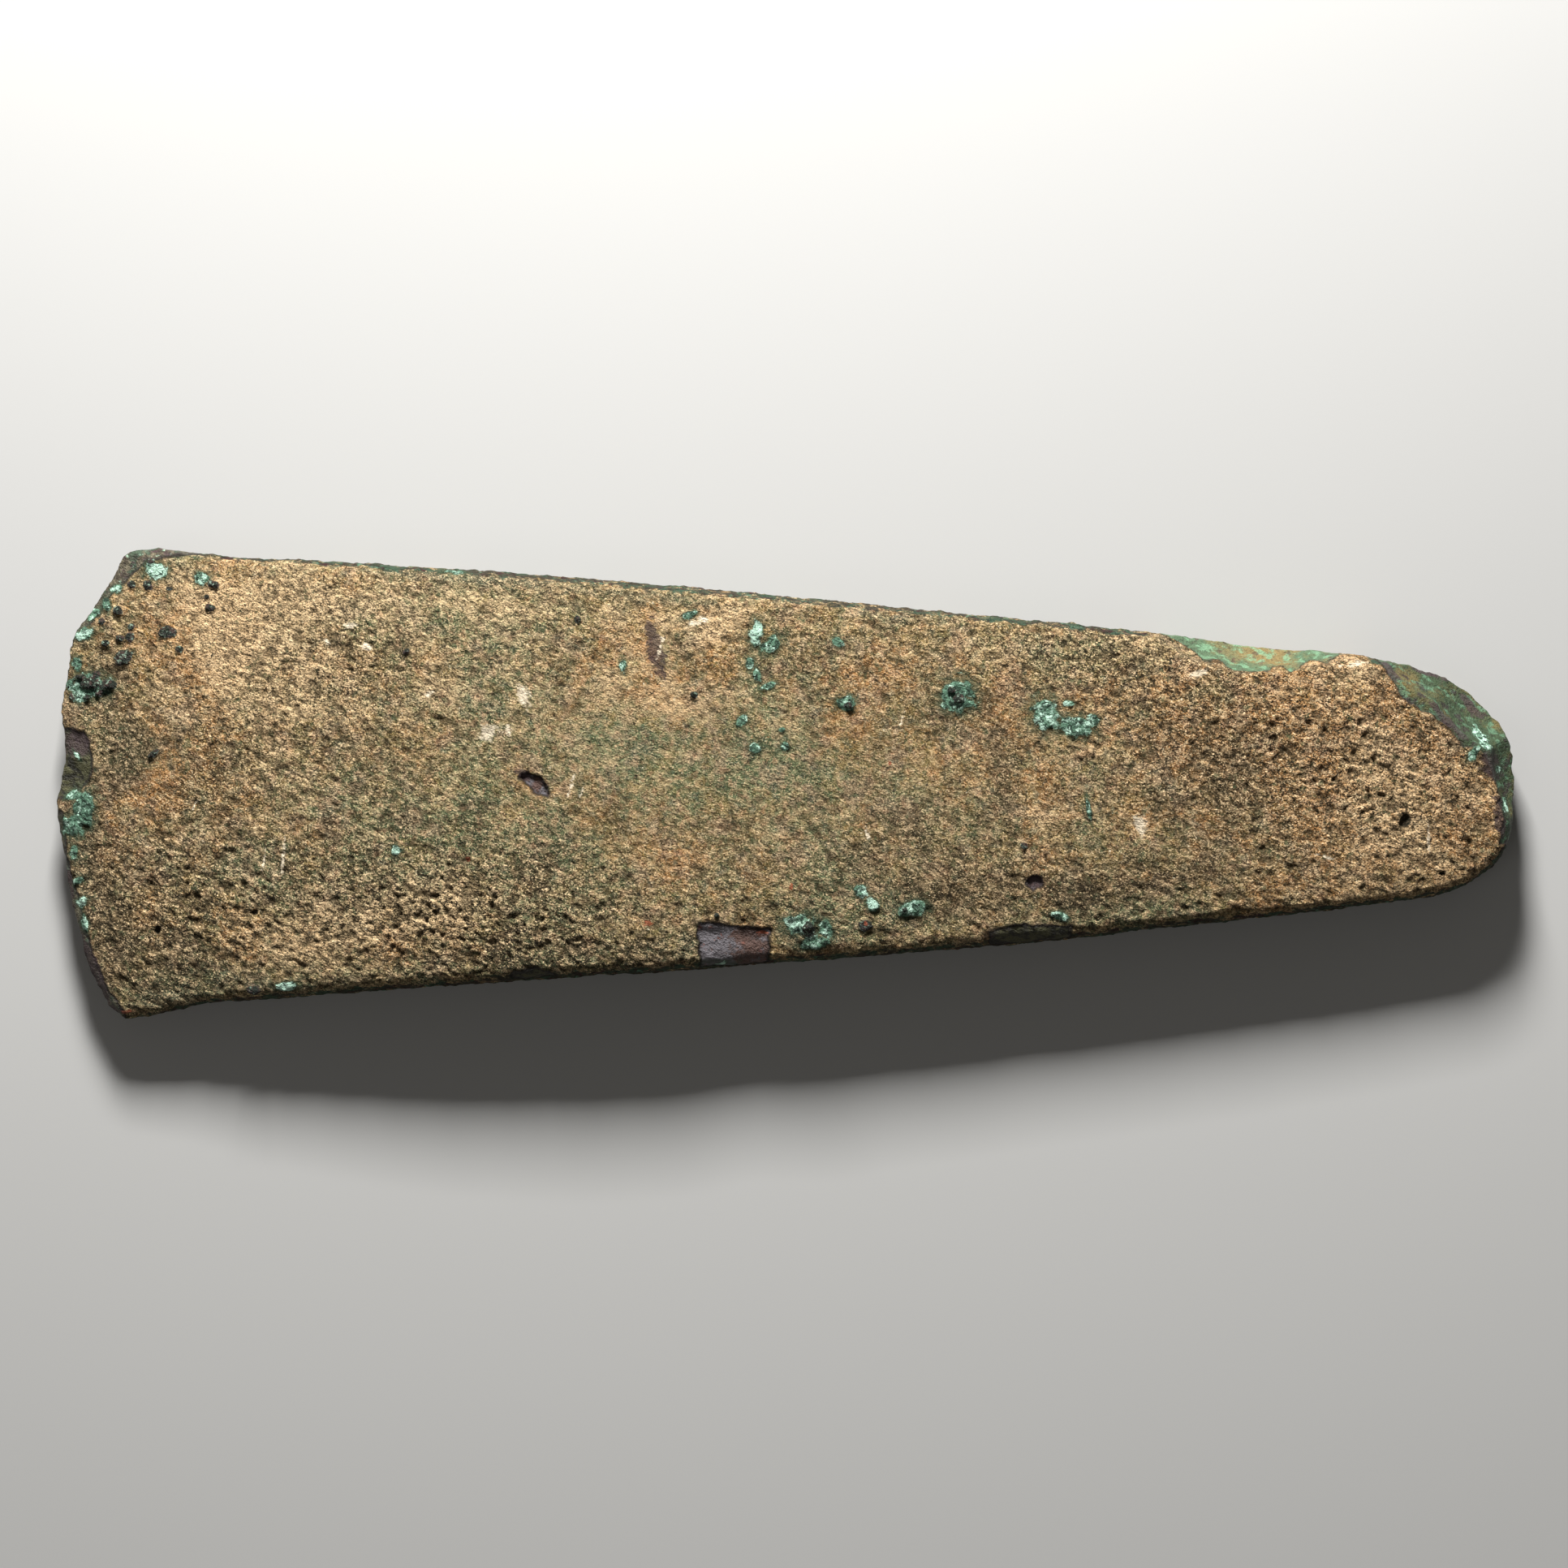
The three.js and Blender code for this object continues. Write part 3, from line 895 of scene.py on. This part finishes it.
blotch = cloud(3.6, 4, 2)
mottle = cloud(0.85, 4, 3, along_ripples)
fine_grain = cloud(0.36, 4, 4, along_ripples)
grit = cloud(0.17, 3, 5)


def lumps_of(size_mm, shift):
    """Rounded lumps of that size: 0 in the thin cracks between them, rising to their tops."""
    level = cloud(size_mm, 1, shift, along_ripples)
    return math_of("ABSOLUTE", math_of("SUBTRACT", level, 0.5), 0.0)


crumb = lumps_of(0.8, 32)
small_crumb = lumps_of(0.42, 33)

hue = frayed(frayed(measure("hue"), blotch, 3.0), cloud(1.1, 4, 6), 3.2)
crust = laid(between(hue, -0.1, 1.0), seen(149, 129, 87), seen(184, 132, 77))
crust = laid(between(hue, 0.2, -1.0), crust, seen(107, 120, 84))
tint = cloud(2.4, 3, 1)
crust = laid(between(tint, 0.53, 0.63, most=0.5), crust, seen(172, 142, 118))
crust = laid(between(tint, 0.47, 0.37, most=0.5), crust, seen(148, 126, 68))
small_tint = cloud(0.9, 4, 34)
crust = laid(between(small_tint, 0.55, 0.63, most=0.5), crust, seen(90, 106, 90))
crust = laid(between(small_tint, 0.45, 0.37, most=0.5), crust, seen(198, 150, 112))
# Lighter and darker places of the crust: partly its own tone, partly painted light and shade.
tone = frayed(frayed(measure("tone"), cloud(4.6, 4, 30), 3.0), mottle, 1.4)
crust = laid(between(tone, 0.0, 1.05, most=0.75), crust, seen(240, 205, 156))
crust = laid(between(tone, 0.1, -1.0, most=0.85), crust, seen(60, 50, 32))
stain_share = between(frayed(measure("stain"), mottle, 2.2), 0.25, 0.95, most=0.7)
crust = laid(stain_share, crust, seen(94, 105, 84))
force = between(measure("coarse"), -0.8, 1.0, 0.55, 1.4)


def forced(share):
    """The share, stronger where the crust is coarse."""
    return math_of("MULTIPLY", force, share)


# The fine grain and the grit, which also make the bump: partly the grain's own light and dark, partly
# painted shade in its hollows and painted highlights on its tops.
crust = laid(forced(between(fine_grain, 0.5, 0.38, most=0.6)), crust, seen(66, 53, 31))
crust = laid(forced(between(fine_grain, 0.54, 0.66, most=0.55)), crust, seen(248, 218, 172))
crust = laid(forced(between(grit, 0.49, 0.4, most=0.85)), crust, seen(50, 40, 22))
crust = laid(forced(between(grit, 0.53, 0.62, most=0.8)), crust, seen(252, 220, 172))
# Painted highlights on the crumbs' tops, and painted shade in the thin cracks between them where the cracks
# are open.
open_crack = between(cloud(1.5, 3, 31), 0.36, 0.56)
crack_shade = forced(math_of("MULTIPLY", between(crumb, 0.04, 0.0), open_crack))
crust = laid(between(crumb, 0.06, 0.18, most=0.25), crust, seen(232, 198, 152))
crust = laid(math_of("MULTIPLY", crack_shade, 0.75), crust, seen(34, 27, 16))
green_fleck = between(cloud(0.8, 3, 7), 0.59, 0.66, most=0.6)
crust = laid(green_fleck, crust, seen(76, 88, 58))
dark_fleck = between(cloud(0.55, 2, 8), 0.645, 0.7, most=0.8)
crust = laid(dark_fleck, crust, seen(40, 38, 28))
white_fleck = between(cloud(0.5, 2, 9), 0.69, 0.75, most=0.8)
crust = laid(white_fleck, crust, seen(240, 226, 194))
orange_fleck = between(cloud(0.7, 2, 10), 0.73, 0.77, most=0.6)
crust = laid(orange_fleck, crust, seen(176, 112, 62))
# Painted shade in the hollows of the head's own relief.
hollow_shade = between(measure("crumbs"), -0.03, -0.16, most=0.6)
crust = laid(hollow_shade, crust, seen(58, 48, 28))

# The long sides' dark green crust, made darker than its own colour as painted shade where the key lamp
# lights the walls, with painted shade in the hollows of its grain.
rim = laid(between(cloud(2.6, 4, 11), 0.44, 0.56), seen(66, 60, 47), seen(64, 84, 64))
rim = laid(between(cloud(1.4, 4, 12), 0.57, 0.66), rim, seen(100, 136, 110))
rim = laid(between(cloud(1.7, 3, 13), 0.55, 0.63), rim, seen(68, 44, 40))
rim = laid(between(fine_grain, 0.5, 0.36, most=0.75), rim, seen(30, 31, 24))
rim_share = between(frayed(measure("edge"), mottle, 3.4), 0.5, 1.0)
crust = laid(rim_share, crust, rim)

redness = between(frayed(measure("hue"), cloud(1.3, 4, 14), 6.0), 0.0, 0.7)
metal = laid(redness, seen(112, 107, 110), seen(96, 74, 66))
metal = laid(between(cloud(0.9, 3, 15), 0.58, 0.66, most=0.7), metal, seen(128, 76, 62))
metal = laid(between(mottle, 0.5, 0.36, most=0.5), metal, seen(58, 50, 50))
flake_hue = frayed(measure("flake_hue"), cloud(2.2, 4, 16), 3.0)
green_flake = laid(between(flake_hue, -0.1, 0.7), seen(62, 78, 53), seen(108, 97, 58))
mint_patch = between(cloud(0.9, 4, 17, along_ripples), 0.52, 0.6, most=0.7)
green_flake = laid(mint_patch, green_flake, seen(100, 136, 106))
green_flake = laid(between(cloud(1.4, 3, 18), 0.55, 0.64, most=0.8), green_flake, seen(58, 46, 46))
metal = laid(measure("green_loss"), metal, green_flake)
ochre_flake = laid(between(flake_hue, 0.0, 1.0), seen(86, 108, 80), seen(132, 114, 72))
mint_streak = between(cloud(0.8, 4, 19, along_ripples), 0.5, 0.6, most=0.75)
ochre_flake = laid(mint_streak, ochre_flake, seen(122, 162, 126))
ochre_flake = laid(between(cloud(1.2, 3, 20), 0.56, 0.64, most=0.75), ochre_flake, seen(84, 66, 54))
metal = laid(measure("ochre_loss"), metal, ochre_flake)
rubbed = laid(between(cloud(0.9, 4, 21), 0.44, 0.6), seen(78, 70, 56), seen(122, 114, 92))
rubbed = laid(between(cloud(1.8, 3, 22), 0.53, 0.6, most=0.8), rubbed, seen(62, 84, 66))
rubbed = laid(between(cloud(1.3, 3, 23), 0.58, 0.66, most=0.85), rubbed, seen(80, 60, 62))
rubbed = laid(between(cloud(0.7, 3, 29), 0.62, 0.68, most=0.8), rubbed, seen(164, 192, 166))
rubbed = laid(between(fine_grain, 0.5, 0.38, most=0.7), rubbed, seen(44, 40, 32))
metal = laid(measure("rubbed_loss"), metal, rubbed)
dark_flake = laid(between(mottle, 0.42, 0.58), seen(40, 38, 28), seen(84, 82, 56))
metal = laid(measure("dark_loss"), metal, dark_flake)
metal = laid(between(grit, 0.5, 0.34, most=0.5), metal, seen(44, 40, 36))
bare_edge = frayed(measure("bare"), grit, 0.6)
bare_share = between(bare_edge, -0.06, 0.06)
colour = laid(bare_share, crust, metal)
# A dark band along the border of each loss: painted shadow of the crust's broken edge, fainter at the ochre
# and green flakes.
lip_shadow = math_of("MULTIPLY", between(bare_edge, -0.3, -0.02), between(bare_edge, 0.36, 0.04))
lip_shadow = math_of("MULTIPLY", lip_shadow, between(measure("ochre_loss"), 0.0, 0.3, 0.85, 0.2))
lip_shadow = math_of("MULTIPLY", lip_shadow, between(measure("green_loss"), 0.0, 0.3, 1.0, 0.5))
colour = laid(lip_shadow, colour, seen(40, 34, 30))

violet_share = between(frayed(measure("violet"), mottle, 2.4), -0.05, 0.35, most=0.8)
colour = laid(violet_share, colour, seen(70, 56, 57))

halo = between(frayed(measure("malachite"), fine_grain, 1.4), -0.6, 0.05, most=0.65)
colour = laid(halo, colour, seen(56, 72, 50))
green = laid(between(cloud(0.45, 3, 24), 0.4, 0.56), seen(42, 62, 48), seen(102, 138, 114))
# Pale mint on the malachite where it is chalky, partly painted highlights on its lumps.
mint_edge = math_of("ADD", cloud(0.55, 3, 25), math_of("MULTIPLY", measure("chalky"), 0.2))
green = laid(between(mint_edge, 0.55, 0.65), green, seen(188, 222, 200))
green = laid(between(cloud(0.4, 3, 26), 0.6, 0.68), green, seen(34, 42, 32))
green_share = between(frayed(measure("malachite"), grit, 0.7), 0.05, 0.24)
colour = laid(green_share, colour, green)

nodule_share = between(frayed(measure("nodule"), grit, 0.5), 0.0, 0.15)
shot = laid(between(cloud(0.5, 2, 27), 0.48, 0.6), seen(40, 46, 38), seen(78, 62, 56))
# Pale green specks on the nodules, partly green mineral and partly painted glints.
shot = laid(between(cloud(0.4, 2, 28), 0.55, 0.63), shot, seen(138, 158, 138))
colour = laid(nodule_share, colour, shot)
hole_share = between(frayed(measure("holes"), grit, 0.5), 0.0, 0.3, most=0.9)
colour = laid(hole_share, colour, seen(30, 30, 22))
orange_edge = frayed(measure("orange"), fine_grain, 1.6)
colour = laid(between(orange_edge, 0.1, 0.4, most=0.75), colour, seen(160, 84, 56))
pale_edge = frayed(frayed(measure("pale"), fine_grain, 1.6), mottle, 2.0)
colour = laid(between(pale_edge, 0.05, 0.6, most=0.85), colour, seen(246, 228, 198))
feed(shader.inputs["Base Color"], colour)

earth_dullness = between(fine_grain, 0.3, 0.7, 0.98, 0.88)
metal_dullness = between(mottle, 0.3, 0.7, 0.42, 0.62)
dullness = laid(bare_share, earth_dullness, metal_dullness, "FLOAT")
dullness = laid(green_share, dullness, between(grit, 0.3, 0.7, 0.62, 0.84), "FLOAT")
dullness = laid(nodule_share, dullness, between(grit, 0.3, 0.7, 0.35, 0.52), "FLOAT")
feed(shader.inputs["Roughness"], dullness)
shader.inputs["Specular IOR Level"].default_value = 0.24

lumpy = between(measure("coarse"), -0.8, 0.8, 0.25, 1.15)
tooth = math_of("ADD", math_of("MULTIPLY", mottle, 0.8), math_of("MULTIPLY", crumb, 1.7))
tooth = math_of("MULTIPLY", tooth, lumpy)
tooth = math_of("ADD", tooth, math_of("MULTIPLY", grit, 1.0))
tooth = math_of("ADD", tooth, math_of("MULTIPLY", fine_grain, 0.7))
tooth = math_of("ADD", tooth, math_of("MULTIPLY", small_crumb, 0.9))
tooth = laid(bare_share, tooth, math_of("MULTIPLY", tooth, 0.5), "FLOAT")
bump = tree.nodes.new("ShaderNodeBump")
bump.inputs["Strength"].default_value = 1.0
bump.inputs["Distance"].default_value = 0.0006
feed(bump.inputs["Height"], tooth)
feed(shader.inputs["Normal"], bump.outputs["Normal"])

axe_skin = bpy.data.objects.new("crusted_axe_head", skin)
bpy.context.collection.objects.link(axe_skin)
skin.materials.clear()
skin.materials.append(finish)
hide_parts("axe_head")
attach(axe_skin, "root")
